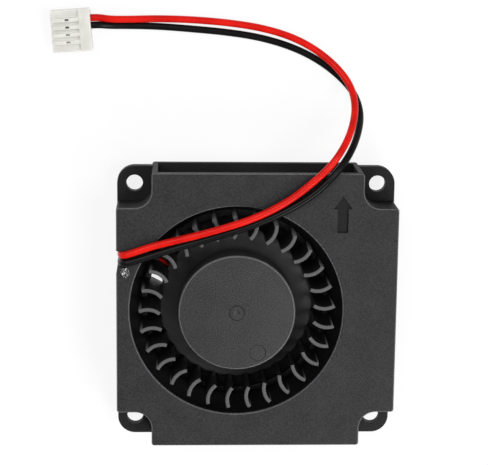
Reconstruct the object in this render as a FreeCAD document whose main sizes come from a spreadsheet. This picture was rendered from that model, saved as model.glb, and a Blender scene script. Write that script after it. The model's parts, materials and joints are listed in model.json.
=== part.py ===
import FreeCAD, Part
import math
import os
import re

import Sketcher
from FreeCAD import Placement, Rotation, Vector

# Small centrifugal cooling fan lying on its back, in millimetres. X is across the case,
# Y points out of the air outlet and Z out of the air inlet. The origin is the centre of
# the case's back.

sizes = {
    # case
    "case_side": 40.0,
    "case_height": 10.0,
    "wall": 0.85,
    "face_thickness": 0.9,
    "base_thickness": 1.1,
    "corner_notch": 5.0,
    "notch_fillet": 2.4,
    "corner_round": 0.4,
    "edge_round": 0.3,
    "tongue_gap": 1.7,
    "tongue_round": 0.35,
    # fixing lugs
    "hole_inset": 2.5,
    "hole_radius": 1.2,
    "lug_top": 3.8,
    "lug_thickness": 1.5,
    # air inlet
    "inlet_x": -2.95,
    "inlet_y": 0.05,
    "inlet_margin": 1.2,
    "inlet_lip": 0.28,
    # arrow in the face that shows the way the rotor turns
    "arrow_x": 12.0,
    "arrow_tip": 16.7,
    "arrow_length": 5.2,
    "arrow_width": 1.5,
    "head_length": 1.75,
    "head_width": 2.65,
    "arrow_depth": 0.3,
    # snap hooks of the back cover
    "hook_width": 2.0,
    "hook_thickness": 0.5,
    "hook_top": 5.0,
    "hook_place": 11.0,
    "barb_height": 0.8,
    "barb_depth": 0.3,
    "snug_gap": 0.05,
    # way of the leads through the back cover and the side wall
    "channel_angle": 27.5,
    "channel_width": 3.35,
    "channel_x": -14.5,
    "channel_y": 4.4,
    "channel_end": 7.4,
    "exit_y": 7.625,
    "exit_width": 2.3,
    "exit_depth": 1.4,
    "exit_relief": 0.3,
    "relief_y": 7.1,
    "relief_width": 3.4,
    "guard_thickness": 0.25,
    "guard_reach": 0.6,
    "guard_gap": 0.15,
    # back of the cover
    "recess_radius": 8.5,
    "recess_depth": 0.2,
    "boss_radius": 3.0,
    "boss_height": 1.2,
    "seat_floor": 0.5,
    # rotor
    "rotor_x": -2.8,
    "rotor_y": -0.5,
    "shaft_radius": 0.75,
    "shaft_bottom": 0.85,
    "shaft_grip": 0.35,
    "running_gap": 0.02,
    "scroll_gap": 2.35,
    "hub_gap": 2.65,
    "hub_top": 8.8,
    "hub_cap": 0.7,
    "hub_wall": 0.5,
    "hub_round": 0.25,
    "rotor_clearance": 0.5,
    "skirt_lap": 0.3,
    "skirt_height": 2.6,
    "skirt_thickness": 0.65,
    "shaft_boss": 1.6,
    "boss_drop": 0.75,
    "blade_count": 29,
    "blade_length": 2.95,
    "blade_top": 9.3,
    "blade_thickness": 0.55,
    "blade_curve": 2.7,
    "blade_lean": 1.4,
    "blade_turn": 4.87,
    "ring_setback": 0.15,
    "ring_width": 0.9,
    "ring_height": 0.8,
    # motor
    "yoke_wall": 0.4,
    "yoke_bottom": 2.7,
    "magnet_thickness": 0.8,
    "magnet_bottom": 3.0,
    "magnet_height": 4.0,
    "air_gap": 0.3,
    "tube_radius": 2.0,
    "tube_top": 7.1,
    "sleeve_radius": 1.5,
    "sleeve_bottom": 1.6,
    "sleeve_top": 6.8,
    "pad_thickness": 0.3,
    "washer_thickness": 0.2,
    "clip_thickness": 0.2,
    "clip_radius": 1.1,
    "groove_depth": 0.2,
    "groove_bottom": 1.15,
    "pole_count": 4,
    "core_bottom": 3.7,
    "core_height": 2.4,
    "core_ring": 3.0,
    "neck_width": 1.6,
    "shoe_angle": 36.0,
    "shoe_depth": 0.6,
    "shoe_root": 0.9,
    "insulator_sheet": 0.4,
    "insulator_rim": 0.6,
    "rim_thickness": 0.4,
    "coil_thickness": 0.75,
    "coil_corner": 0.5,
    # circuit board
    "board_radius": 7.3,
    "board_thickness": 0.6,
    "pin_radius": 0.2,
    "pin_circle": 5.95,
    "solder_radius": 0.45,
    "solder_height": 0.35,
    "chip_length": 2.9,
    "chip_width": 1.6,
    "chip_height": 1.0,
    "leg_length": 0.5,
    "leg_width": 0.35,
    "leg_thickness": 0.15,
    "small_length": 1.6,
    "small_width": 0.8,
    "small_height": 0.7,
    # leads and plug
    "lead_diameter": 0.95,
    "foot_run": 2.4,
    "lead_slack": 0.07,
    "plug_x": -23.63,
    "plug_y": 39.28,
    "plug_angle": 4.5,
    "plug_length": 5.6,
    "plug_width": 5.9,
    "plug_height": 3.0,
    "plug_pitch": 1.05,
    "plug_ways": 4,
    "plug_rear": 1.6,
    "plug_step": 0.45,
    "plug_round": 0.2,
    "rib_width": 0.5,
    "cavity_width": 0.72,
    "cavity_height": 1.3,
    "window_length": 0.56,
    "window_width": 0.32,
    "window_place": 3.02,
    "terminal_length": 4.2,
    "terminal_width": 0.64,
    "terminal_height": 0.9,
    "terminal_wall": 0.15,
    "crimp_length": 1.2,
    "glue_x": -18.85,
    "glue_y": 5.75,
    "glue_length": 0.75,
    "glue_width": 0.5,
    "glue_height": 0.35,
}

doc = FreeCAD.newDocument("centrifugal_fan")
sheet = doc.addObject("Spreadsheet::Sheet", "Sizes")
for row, (name, number) in enumerate(sizes.items(), 1):
    sheet.set("A%d" % row, name)
    sheet.set("B%d" % row, str(number))
    sheet.setAlias("B%d" % row, name)
doc.recompute()

pieces = []


# Formulas of sheet sizes

def formula(text):
    # every size has an underscore in its name, or is the wall
    return re.sub(r"\b([a-z]+_[a-z]+|wall)\b", r"Sizes.\1", str(text))


def size(text):
    return float(sheet.evalExpression(formula(text)))


def bind(thing, path, text):
    thing.setExpression(path, formula(text))


half_side = "case_side / 2"
inner_side = "(case_side / 2 - wall)"
notch_line = "(case_side / 2 - corner_notch)"
notch_inner = "(case_side / 2 - corner_notch - wall)"
notch_centre = "(case_side / 2 - corner_notch + notch_fillet)"
face_under = "(case_height - face_thickness)"
rotor_bottom = "(base_thickness + rotor_clearance)"
board_top = "(base_thickness + board_thickness)"
blade_tip = "(rotor_x + %s - scroll_gap)" % inner_side
blade_root = "(%s - blade_length)" % blade_tip
skirt_radius = "(%s + skirt_lap)" % blade_root
inlet_radius = "(%s + inlet_margin)" % blade_tip
hub_radius = "(%s - hub_gap)" % blade_root
yoke_radius = "(%s - hub_wall)" % hub_radius
magnet_outer = "(%s - yoke_wall)" % yoke_radius
magnet_inner = "(%s - magnet_thickness)" % magnet_outer
core_radius = "(%s - air_gap)" % magnet_inner
cap_under = "(hub_top - hub_cap)"
hole_place = "(case_side / 2 - hole_inset)"
exit_inner = "(case_side / 2 - exit_depth)"


# Sketches and features

def new_body(name, at_rotor=False, turn=None):
    body = doc.addObject("PartDesign::Body", name)
    body.Label = name
    if at_rotor:
        bind(body, "Placement.Base.x", "rotor_x")
        bind(body, "Placement.Base.y", "rotor_y")
    if turn is not None:
        body.Placement.Rotation = Rotation(Vector(0, 0, 1), 1)
        bind(body, "Placement.Rotation.Angle", turn)
    pieces.append(body)
    return body


def new_sketch(body, height=None, plane="XY_Plane"):
    sketch = body.newObject("Sketcher::SketchObject", body.Name + "_sketch")
    support = [item for item in body.Origin.OriginFeatures if item.Role == plane][0]
    sketch.AttachmentSupport = (support, [""])
    sketch.MapMode = "FlatFace"
    if height is not None:
        bind(sketch, "AttachmentOffset.Base.z", height)
    return sketch


def pin_point(sketch, shape, point, x, y):
    for kind, text in (("DistanceX", x), ("DistanceY", y)):
        index = sketch.addConstraint(Sketcher.Constraint(kind, -1, 1, shape, point, size(text)))
        bind(sketch, "Constraints[%d]" % index, text)


def arc_between(start, end, radius, turn):
    # turn is 1 for a counter-clockwise arc and -1 for a clockwise one
    chord = end - start
    rise = math.sqrt(radius ** 2 - chord.Length ** 2 / 4)
    normal = Vector(-chord.y, chord.x, 0).normalize()
    centre = (start + end) * 0.5 + normal * (rise * turn)
    first, last = (start, end) if turn > 0 else (end, start)
    angles = [math.atan2(item.y - centre.y, item.x - centre.x) for item in (first, last)]
    return Part.ArcOfCircle(Part.Circle(centre, Vector(0, 0, 1), radius), angles[0], angles[1])


def draw_loop(sketch, corners, arcs=None):
    # closed outline through the corners; arcs maps a side's number to its radius and turn
    arcs = arcs or {}
    spots = [Vector(size(x), size(y), 0) for x, y in corners]
    first = sketch.GeometryCount
    ends = []
    for number, start in enumerate(spots):
        end = spots[(number + 1) % len(spots)]
        if number in arcs:
            radius, turn = arcs[number]
            sketch.addGeometry(arc_between(start, end, size(radius), turn))
            ends.append((1, 2) if turn > 0 else (2, 1))
        else:
            sketch.addGeometry(Part.LineSegment(start, end))
            ends.append((1, 2))
    for number, corner in enumerate(corners):
        after = (number + 1) % len(corners)
        join = Sketcher.Constraint("Coincident", first + number, ends[number][1], first + after, ends[after][0])
        sketch.addConstraint(join)
        pin_point(sketch, first + number, ends[number][0], corner[0], corner[1])
        if number in arcs:
            radius = arcs[number][0]
            index = sketch.addConstraint(Sketcher.Constraint("Radius", first + number, size(radius)))
            bind(sketch, "Constraints[%d]" % index, radius)


def draw_circle(sketch, x, y, radius):
    circle = Part.Circle(Vector(size(x), size(y), 0), Vector(0, 0, 1), size(radius))
    shape = sketch.addGeometry(circle)
    pin_point(sketch, shape, 3, x, y)
    index = sketch.addConstraint(Sketcher.Constraint("Radius", shape, size(radius)))
    bind(sketch, "Constraints[%d]" % index, radius)


def draw_box(sketch, low_x, low_y, high_x, high_y):
    draw_loop(sketch, [(low_x, low_y), (high_x, low_y), (high_x, high_y), (low_x, high_y)])


def pad(body, sketch, length, reverse=False):
    feature = body.newObject("PartDesign::Pad", body.Name + "_pad")
    feature.Profile = (sketch, [""])
    feature.Reversed = reverse
    bind(feature, "Length", length)
    doc.recompute()
    return feature


def cut_away(body, sketch, depth, upward=False):
    before = body.Shape.Volume
    feature = body.newObject("PartDesign::Pocket", body.Name + "_pocket")
    feature.Profile = (sketch, [""])
    feature.Reversed = upward
    bind(feature, "Length", depth)
    doc.recompute()
    if body.Shape.Volume > before - 1e-4:
        raise ValueError("a cut of %s removes nothing" % body.Label)
    return feature


def turn_profile(body, corners, arcs=None):
    sketch = new_sketch(body, plane="XZ_Plane")
    draw_loop(sketch, corners, arcs)
    feature = body.newObject("PartDesign::Revolution", body.Name + "_turning")
    feature.Profile = (sketch, [""])
    feature.ReferenceAxis = (sketch, ["V_Axis"])
    feature.Angle = 360
    doc.recompute()
    return feature


def copy_round(body, feature, count):
    pattern = body.newObject("PartDesign::PolarPattern", body.Name + "_ring")
    pattern.Originals = [feature]
    axis = [item for item in body.Origin.OriginFeatures if item.Role == "Z_Axis"][0]
    pattern.Axis = (axis, [""])
    pattern.Angle = 360
    bind(pattern, "Occurrences", count)
    body.Tip = pattern
    doc.recompute()
    return pattern


def round_edges(body, radius, test):
    names = ["Edge%d" % (n + 1) for n, edge in enumerate(body.Shape.Edges) if test(edge)]
    if not names:
        raise ValueError("no edges to round on %s" % body.Label)
    tip = body.Tip
    feature = body.newObject("PartDesign::Fillet", body.Name + "_round")
    feature.Base = (tip, names)
    bind(feature, "Radius", radius)
    doc.recompute()
    return feature


def is_upright(edge):
    low, high = edge.BoundBox.ZMin, edge.BoundBox.ZMax
    return edge.BoundBox.XLength < 1e-4 and edge.BoundBox.YLength < 1e-4 and high - low > 0.1


def is_level(edge, height):
    return abs(edge.BoundBox.ZMin - height) < 1e-4 and abs(edge.BoundBox.ZMax - height) < 1e-4


def is_notch_corner(edge):
    line = size(notch_line)
    spot = edge.CenterOfMass
    return is_upright(edge) and abs(abs(spot.x) - line) < 1e-4 and abs(abs(spot.y) - line) < 1e-4


# Outline that the case and its back cover share: a square with its four corners notched

def draw_case_outline(sketch):
    far, near = half_side, notch_line
    corners = []
    for x_sign, y_sign in ((1, 1), (-1, 1), (-1, -1), (1, -1)):
        outward = [("%d * %s" % (x_sign, far), "%d * %s" % (y_sign, near)),
                   ("%d * %s" % (x_sign, near), "%d * %s" % (y_sign, near)),
                   ("%d * %s" % (x_sign, near), "%d * %s" % (y_sign, far))]
        corners += outward if x_sign * y_sign > 0 else outward[::-1]
    draw_loop(sketch, corners)


def round_case_corners(body):
    round_edges(body, "notch_fillet", is_notch_corner)

    def is_outer_corner(edge):
        reach = max(abs(edge.CenterOfMass.x), abs(edge.CenterOfMass.y))
        other = min(abs(edge.CenterOfMass.x), abs(edge.CenterOfMass.y))
        on_corner = abs(reach - size(half_side)) < 1e-4 and abs(other - size(notch_line)) < 1e-4
        return is_upright(edge) and on_corner

    round_edges(body, "corner_round", is_outer_corner)


# Scroll: the air path is bounded by three arcs of growing radius that touch the side
# walls, and by the outlet's straight walls

tongue_y = "(rotor_y + sqrt((%s + tongue_gap)^2 - (%s + rotor_x)^2))" % (blade_tip, notch_inner)
tongue_across = "(%s - %s)" % (inner_side, notch_inner)
tongue_along = "(%s - rotor_x)" % tongue_y
tongue_radius = "((%s^2 + %s^2) / (2 * %s))" % (tongue_across, tongue_along, tongue_across)
left_radius = "(rotor_x + %s)" % inner_side
right_radius = "(%s - rotor_x)" % inner_side


def draw_air_path(sketch):
    past_outlet = "(%s + 1)" % half_side
    draw_loop(sketch, [
        ("-" + notch_inner, past_outlet),
        ("-" + notch_inner, tongue_y),
        ("-" + inner_side, "rotor_x"),
        ("rotor_x", "-" + inner_side),
        (inner_side, "-rotor_x"),
        (inner_side, notch_inner),
        (notch_centre, notch_inner),
        (notch_inner, notch_centre),
        (notch_inner, past_outlet),
    ], {1: (tongue_radius, 1), 2: (left_radius, 1), 3: (right_radius, 1), 6: ("notch_fillet + wall", -1)})


# Hollows behind the scroll wall, so that the moulding keeps one wall thickness

def draw_left_hollow(sketch):
    outer = "(%s + wall)" % tongue_radius
    centre_x = "(%s - %s)" % (tongue_radius, inner_side)
    low = "(exit_y + exit_width / 2 + wall)"
    reach = "(sqrt(%s^2 - (%s - rotor_x)^2) - %s)" % (outer, low, centre_x)
    high = "(rotor_x + sqrt(%s^2 - (%s + %s)^2))" % (outer, notch_line, centre_x)
    meet = "(%s - sqrt((notch_fillet + wall)^2 - notch_fillet^2))" % notch_centre
    draw_loop(sketch, [
        ("-" + inner_side, low),
        ("-" + reach, low),
        ("-" + notch_line, high),
        ("-" + notch_line, meet),
        ("-" + notch_centre, notch_inner),
        ("-" + inner_side, notch_inner),
    ], {1: (outer, -1), 3: ("notch_fillet + wall", -1)})


def draw_right_hollow(sketch):
    outer = "(%s + wall)" % right_radius
    step = "sqrt(2 * %s * wall + wall^2)" % right_radius
    draw_loop(sketch, [
        (inner_side, "-rotor_x - " + step),
        ("rotor_x + " + step, "-" + inner_side),
        (notch_inner, "-" + inner_side),
        (notch_inner, "-" + notch_centre),
        (notch_centre, "-" + notch_inner),
        (inner_side, "-" + notch_inner),
    ], {0: (outer, -1), 3: ("notch_fillet + wall", -1)})


def draw_lug(sketch, x_sign, y_sign):
    # a lug fills one corner notch and reaches halfway into the wall behind it
    def spot(x, y):
        return ("%d * (%s)" % (x_sign, x), "%d * (%s)" % (y_sign, y))

    inner = "%s - wall / 2" % notch_line
    corners = [spot(inner, notch_centre), spot(inner, half_side), spot(hole_place, half_side),
               spot(half_side, hole_place), spot(half_side, inner), spot(notch_centre, inner)]
    turn = -x_sign * y_sign
    draw_loop(sketch, corners, {2: ("hole_inset", turn), 5: ("notch_fillet + wall / 2", turn)})
    draw_circle(sketch, *spot(hole_place, hole_place), "hole_radius")


def draw_exit(sketch):
    draw_box(sketch, "-case_side / 2 - 1", "exit_y - exit_width / 2",
             "-" + exit_inner, "exit_y + exit_width / 2")


def make_housing():
    body = new_body("housing")
    outline = new_sketch(body, "base_thickness")
    draw_case_outline(outline)
    pad(body, outline, "case_height - base_thickness")
    round_case_corners(body)
    top = size("case_height")
    round_edges(body, "edge_round", lambda edge: is_level(edge, top))

    path = new_sketch(body, "base_thickness")
    draw_air_path(path)
    cut_away(body, path, face_under + " - base_thickness", upward=True)
    hollows = new_sketch(body, "base_thickness")
    draw_left_hollow(hollows)
    draw_right_hollow(hollows)
    cut_away(body, hollows, face_under + " - base_thickness", upward=True)

    tongue = Vector(-size(notch_inner), size(tongue_y), 0)
    round_edges(body, "tongue_round", lambda edge: is_upright(edge)
                and math.hypot(edge.CenterOfMass.x - tongue.x, edge.CenterOfMass.y - tongue.y) < 1e-3)

    inlet = new_sketch(body, "case_height")
    draw_circle(inlet, "inlet_x", "inlet_y", inlet_radius)
    cut_away(body, inlet, "face_thickness")
    reach = size(inlet_radius)
    round_edges(body, "inlet_lip", lambda edge: is_level(edge, top)
                and edge.BoundBox.XLength > 1.9 * reach)

    lugs = new_sketch(body, "lug_top - lug_thickness")
    for x_sign in (-1, 1):
        for y_sign in (-1, 1):
            draw_lug(lugs, x_sign, y_sign)
    pad(body, lugs, "lug_thickness")

    # slot in the left wall where the leads come up, with a shallow relief beside it
    leads = new_sketch(body, "case_height + 1")
    draw_exit(leads)
    cut_away(body, leads, "case_height + 1")
    relief = new_sketch(body, "case_height + 1")
    draw_box(relief, "-case_side / 2 - 1", "relief_y - relief_width / 2",
             "-case_side / 2 + exit_relief", "relief_y + relief_width / 2")
    cut_away(body, relief, "case_height + 1")
    cut_hook_seats(body)

    arrow = new_sketch(body, "case_height")
    tail = "arrow_tip - arrow_length"
    neck = "arrow_tip - head_length"
    sides = [("arrow_width", tail), ("arrow_width", neck), ("head_width", neck)]
    right = [("arrow_x + %s / 2" % width, y) for width, y in sides]
    left = [("arrow_x - %s / 2" % width, y) for width, y in reversed(sides)]
    draw_loop(arrow, right + [("arrow_x", "arrow_tip")] + left)
    cut_away(body, arrow, "arrow_depth")
    return body


# Snap hooks: four arms of the back cover lie in seats of the side walls, and the barb of
# each arm goes through a window

def hook_boxes(depth_in, depth_out, half_width):
    for x_sign in (-1, 1):
        for y_sign in (-1, 1):
            near = "%d * (case_side / 2 - %s)" % (x_sign, depth_in)
            far = "%d * (case_side / 2 + %s)" % (x_sign, depth_out)
            low = "%d * hook_place - %s" % (y_sign, half_width)
            high = "%d * hook_place + %s" % (y_sign, half_width)
            yield (near, low, far, high) if x_sign > 0 else (far, low, near, high)


def cut_hook_seats(body):
    seats = new_sketch(body, "base_thickness")
    for box in hook_boxes("(hook_thickness + snug_gap)", "1", "(hook_width / 2 + snug_gap)"):
        draw_box(seats, *box)
    cut_away(body, seats, "hook_top + snug_gap - base_thickness", upward=True)
    windows = new_sketch(body, "hook_top - barb_height - snug_gap")
    for box in hook_boxes("(wall + snug_gap)", "1", "(hook_width / 2 + snug_gap)"):
        draw_box(windows, *box)
    cut_away(body, windows, "barb_height + 2 * snug_gap", upward=True)


def channel_corner(along, across):
    turn = "channel_angle"
    x = "channel_x - (%s) * cos(%s) - (%s) * sin(%s)" % (along, turn, across, turn)
    y = "channel_y + (%s) * sin(%s) - (%s) * cos(%s)" % (along, turn, across, turn)
    return (x, y)


def make_back_cover():
    body = new_body("back_cover")
    outline = new_sketch(body)
    draw_case_outline(outline)
    pad(body, outline, "base_thickness")
    round_case_corners(body)

    boss = new_sketch(body, "base_thickness")
    draw_circle(boss, "rotor_x", "rotor_y", "boss_radius")
    pad(body, boss, "boss_height")
    recess = new_sketch(body)
    draw_circle(recess, "rotor_x", "rotor_y", "recess_radius")
    cut_away(body, recess, "recess_depth", upward=True)
    seat = new_sketch(body, "seat_floor")
    draw_circle(seat, "rotor_x", "rotor_y", "tube_radius")
    cut_away(body, seat, "base_thickness + boss_height", upward=True)

    # slanting open channel from under the circuit board to the left edge
    channel = new_sketch(body)
    half = "channel_width / 2"
    past_edge = "(case_side / 2 + channel_x + 2) / cos(channel_angle)"
    draw_loop(channel, [channel_corner("-channel_end", half), channel_corner("-channel_end", "-" + half),
                        channel_corner(past_edge, "-" + half), channel_corner(past_edge, half)])
    cut_away(body, channel, "base_thickness", upward=True)
    leads = new_sketch(body)
    draw_exit(leads)
    cut_away(body, leads, "base_thickness", upward=True)

    # guard that keeps the leads in the channel, from under the blades to the scroll wall
    guard = new_sketch(body, "base_thickness")
    inner = "(%s - guard_reach)" % blade_tip
    outer = "(%s - guard_gap)" % tongue_radius
    centre_x = "(%s - %s)" % (tongue_radius, inner_side)
    draw_loop(guard, [
        ("rotor_x + %s * cos(148)" % inner, "rotor_y + %s * sin(148)" % inner),
        ("rotor_x + %s * cos(166)" % inner, "rotor_y + %s * sin(166)" % inner),
        ("%s + %s * cos(161.5)" % (centre_x, outer), "rotor_x + %s * sin(161.5)" % outer),
        ("%s + %s * cos(148)" % (centre_x, outer), "rotor_x + %s * sin(148)" % outer),
    ], {0: (inner, 1), 2: (outer, -1)})
    pad(body, guard, "guard_thickness")

    arms = new_sketch(body)
    for box in hook_boxes("hook_thickness", "0", "hook_width / 2"):
        draw_box(arms, *box)
    pad(body, arms, "hook_top")
    barbs = new_sketch(body, "hook_top - barb_height")
    for box in hook_boxes("(hook_thickness + barb_depth)", "0", "hook_width / 2"):
        draw_box(barbs, *box)
    pad(body, barbs, "barb_height")
    return body


# Bearing

def make_turned_piece(name, corners, arcs=None):
    body = new_body(name, at_rotor=True)
    turn_profile(body, corners, arcs)
    return body


def make_ring(name, inner, outer, bottom, top):
    return make_turned_piece(name, [(inner, bottom), (outer, bottom), (outer, top), (inner, top)])


def make_bearing():
    make_ring("bearing_tube", "sleeve_radius", "tube_radius", "seat_floor", "tube_top")
    bore = "(shaft_radius + running_gap)"
    flare = "%s + 0.15" % bore
    make_turned_piece("sleeve_bearing", [
        (bore, "sleeve_bottom + 0.15"), (flare, "sleeve_bottom"), ("sleeve_radius", "sleeve_bottom"),
        ("sleeve_radius", "sleeve_top"), (flare, "sleeve_top"), (bore, "sleeve_top - 0.15")])
    pad_body = new_body("thrust_pad", at_rotor=True)
    disc = new_sketch(pad_body, "seat_floor")
    draw_circle(disc, "0", "0", "sleeve_radius")
    pad(pad_body, disc, "pad_thickness")
    make_ring("wear_washer", "shaft_radius + 3 * running_gap", "sleeve_radius - 3 * running_gap",
              "sleeve_top + running_gap", "sleeve_top + running_gap + washer_thickness")


# Shaft with its round lower end, the groove of the clip, and the clip

def make_shaft():
    top = "(%s + shaft_grip)" % cap_under
    groove = "(shaft_radius - groove_depth)"
    groove_top = "groove_bottom + clip_thickness"
    foot = "(shaft_radius / 3)"
    make_turned_piece("shaft", [
        ("0", "shaft_bottom"), (foot, "shaft_bottom"),
        ("shaft_radius", "shaft_bottom + 0.2"), ("shaft_radius", "groove_bottom"),
        (groove, "groove_bottom"), (groove, groove_top), ("shaft_radius", groove_top),
        ("shaft_radius", top + " - 0.1"), ("shaft_radius - 0.1", top), ("0", top)])

    clip = new_body("shaft_clip", at_rotor=True)
    sketch = new_sketch(clip, "groove_bottom")
    draw_circle(sketch, "0", "0", "clip_radius")
    draw_circle(sketch, "0", "0", groove)
    pad(clip, sketch, "clip_thickness")
    mouth = new_sketch(clip, "groove_bottom + clip_thickness")
    draw_box(mouth, "0", "-%s * 0.8" % groove, "clip_radius + 1", "%s * 0.8" % groove)
    cut_away(clip, mouth, "clip_thickness")


# Impeller: a turned hub with a flared skirt, the ring that ties the blade tips, and the
# blades, each a thin arc in plan

def make_impeller():
    body = new_body("impeller", at_rotor=True, turn="blade_turn")
    skirt_top = "(%s + skirt_height)" % rotor_bottom
    edge_top = "(%s + skirt_thickness)" % rotor_bottom
    boss_bottom = "(%s - boss_drop)" % cap_under
    flare = "((%s - %s) * 1.25)" % (skirt_radius, hub_radius)
    hole_top = "(%s + shaft_grip)" % cap_under
    turn_profile(body, [
        ("0", "hub_top"),
        ("0", hole_top),
        ("shaft_radius", hole_top),
        ("shaft_radius", boss_bottom),
        ("shaft_boss", boss_bottom),
        ("shaft_boss", cap_under),
        (yoke_radius, cap_under),
        (yoke_radius, skirt_top + " - skirt_thickness"),
        (skirt_radius + " - skirt_thickness", rotor_bottom),
        (skirt_radius, rotor_bottom),
        (skirt_radius, edge_top),
        (hub_radius, skirt_top),
        (hub_radius, "hub_top - hub_round"),
        (hub_radius + " - hub_round", "hub_top"),
    ], {7: (flare, 1), 10: (flare, -1), 12: ("hub_round", 1)})

    ring = new_sketch(body, rotor_bottom)
    draw_circle(ring, "0", "0", blade_tip + " - ring_setback")
    draw_circle(ring, "0", "0", blade_tip + " - ring_setback - ring_width")

    blade = new_sketch(body, rotor_bottom)
    root_x = blade_root + " * cos(blade_lean)"
    root_y = blade_root + " * sin(blade_lean)"
    half = "blade_thickness / 2"
    draw_loop(blade, [(root_x, root_y + " - " + half), (blade_tip, "-" + half),
                      (blade_tip, half), (root_x, root_y + " + " + half)],
              {0: ("blade_curve", 1), 2: ("blade_curve", -1)})
    blades = pad(body, blade, "blade_top - " + rotor_bottom)
    copy_round(body, blades, "blade_count")
    pad(body, ring, "ring_height")
    return body


# Motor

def make_rotor_magnet():
    make_turned_piece("rotor_yoke", [
        ("shaft_boss + snug_gap", cap_under), ("shaft_boss + snug_gap", cap_under + " - yoke_wall"),
        (magnet_outer, cap_under + " - yoke_wall"), (magnet_outer, "yoke_bottom"),
        (yoke_radius, "yoke_bottom"), (yoke_radius, cap_under)])
    make_ring("magnet_ring", magnet_inner, magnet_outer, "magnet_bottom", "magnet_bottom + magnet_height")


def make_pole_plate(name, bottom, height, ring, neck, shoe):
    # ring round the bearing tube with a neck and a curved shoe for each pole
    body = new_body(name, at_rotor=True)
    centre = new_sketch(body, bottom)
    draw_circle(centre, "0", "0", ring)
    pad(body, centre, height)
    pole = new_sketch(body, bottom)
    half = "(%s / 2)" % neck
    inner = "(%s - shoe_depth)" % shoe
    root = "(%s - shoe_root)" % shoe
    sine, cosine = "sin(shoe_angle)", "cos(shoe_angle)"
    draw_loop(pole, [
        ("tube_radius + 0.2", "-" + half), (root, "-" + half),
        ("%s * %s" % (inner, cosine), "-%s * %s" % (inner, sine)),
        ("%s * %s" % (shoe, cosine), "-%s * %s" % (shoe, sine)),
        ("%s * %s" % (shoe, cosine), "%s * %s" % (shoe, sine)),
        ("%s * %s" % (inner, cosine), "%s * %s" % (inner, sine)),
        (root, half), ("tube_radius + 0.2", half)],
        {3: (shoe, 1)})
    copy_round(body, pad(body, pole, height), "pole_count")
    bore = new_sketch(body, bottom)
    draw_circle(bore, "0", "0", "tube_radius")
    cut_away(body, bore, height, upward=True)
    return body


def add_rims(body, height, reverse):
    # upright rims that keep the windings off the shoes
    rim = new_sketch(body, height)
    half = "(neck_width / 2 + insulator_sheet + coil_thickness)"
    outer = "(%s - shoe_root)" % core_radius
    draw_box(rim, outer + " - rim_thickness", "-" + half, outer, half)
    copy_round(body, pad(body, rim, "insulator_rim", reverse), "pole_count")


def make_stator():
    make_pole_plate("stator_core", "core_bottom", "core_height", "core_ring", "neck_width", core_radius)
    wide_neck = "(neck_width + 2 * insulator_sheet)"
    narrow_shoe = "(%s - 0.1)" % core_radius
    lower = make_pole_plate("insulator_lower", "core_bottom - insulator_sheet", "insulator_sheet",
                            "core_ring", wide_neck, narrow_shoe)
    add_rims(lower, "core_bottom - insulator_sheet", True)
    upper_bottom = "(core_bottom + core_height)"
    upper = make_pole_plate("insulator_upper", upper_bottom, "insulator_sheet",
                            "core_ring", wide_neck, narrow_shoe)
    add_rims(upper, upper_bottom + " + insulator_sheet", False)


def make_coil(number):
    # one winding, a rounded frame round the neck of a pole
    body = new_body("coil_%d" % (number + 1), at_rotor=True, turn="%d * 360 / pole_count" % number)
    start = "(core_ring + snug_gap)"
    end = "(%s - shoe_root - rim_thickness - snug_gap)" % core_radius
    section = new_sketch(body, start, "YZ_Plane")
    inner = "(neck_width / 2 + insulator_sheet + snug_gap)"
    low = "(core_bottom - insulator_sheet - snug_gap)"
    high = "(core_bottom + core_height + insulator_sheet + snug_gap)"
    draw_box(section, "-%s - coil_thickness" % inner, low + " - coil_thickness",
             "%s + coil_thickness" % inner, high + " + coil_thickness")
    draw_box(section, "-" + inner, low, inner, high)
    pad(body, section, "%s - %s" % (end, start))
    reach = size(inner + " + coil_thickness")
    axis = Vector(size("rotor_x"), size("rotor_y"), 0)
    way = body.Placement.Rotation.multVec(Vector(0, 1, 0))

    def is_outer_edge(edge):
        ends = [vertex.Point for vertex in edge.Vertexes]
        if len(ends) != 2 or abs(ends[0].z - ends[1].z) > 1e-4:
            return False
        return all(abs(abs((end - axis).dot(way)) - reach) < 1e-3 for end in ends)

    round_edges(body, "coil_corner", is_outer_edge)
    return body


# Circuit board and what is soldered to it

pin_turns = (22, 112, 202)
lead_pads = {"red": (-5.5, 2.85), "black": (-6.1, 1.7)}


def pin_spots():
    for turn in pin_turns:
        yield ("pin_circle * cos(%d)" % turn, "pin_circle * sin(%d)" % turn)


def make_board():
    body = new_body("circuit_board", at_rotor=True)
    disc = new_sketch(body, "base_thickness")
    draw_circle(disc, "0", "0", "board_radius")
    draw_circle(disc, "0", "0", "boss_radius + snug_gap")
    for x, y in pin_spots():
        draw_circle(disc, x, y, "pin_radius + snug_gap")
    pad(body, disc, "board_thickness")

    pins = new_body("winding_pins", at_rotor=True)
    first, *others = [(x, y) for x, y in pin_spots()]
    sketch = new_sketch(pins, "base_thickness")
    draw_circle(sketch, first[0], first[1], "pin_radius")
    pad(pins, sketch, "core_bottom - insulator_sheet - base_thickness")
    pieces.remove(pins)
    stand_in_place("winding_pins", pins, pin_turns)


def stand_in_place(label, body, turns):
    # the same small piece at several angles round the rotor axis, as one node
    solids = []
    axis = Vector(size("rotor_x"), size("rotor_y"), 0)
    for turn in turns:
        shape = body.Shape.copy()
        shape.rotate(axis, Vector(0, 0, 1), turn - turns[0])
        solids.append(shape)
    body.Label = label + "_pattern"
    group = doc.addObject("Part::Feature", label + "_group")
    group.Label = label
    group.Shape = Part.Compound(solids)
    pieces.append(group)


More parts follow.
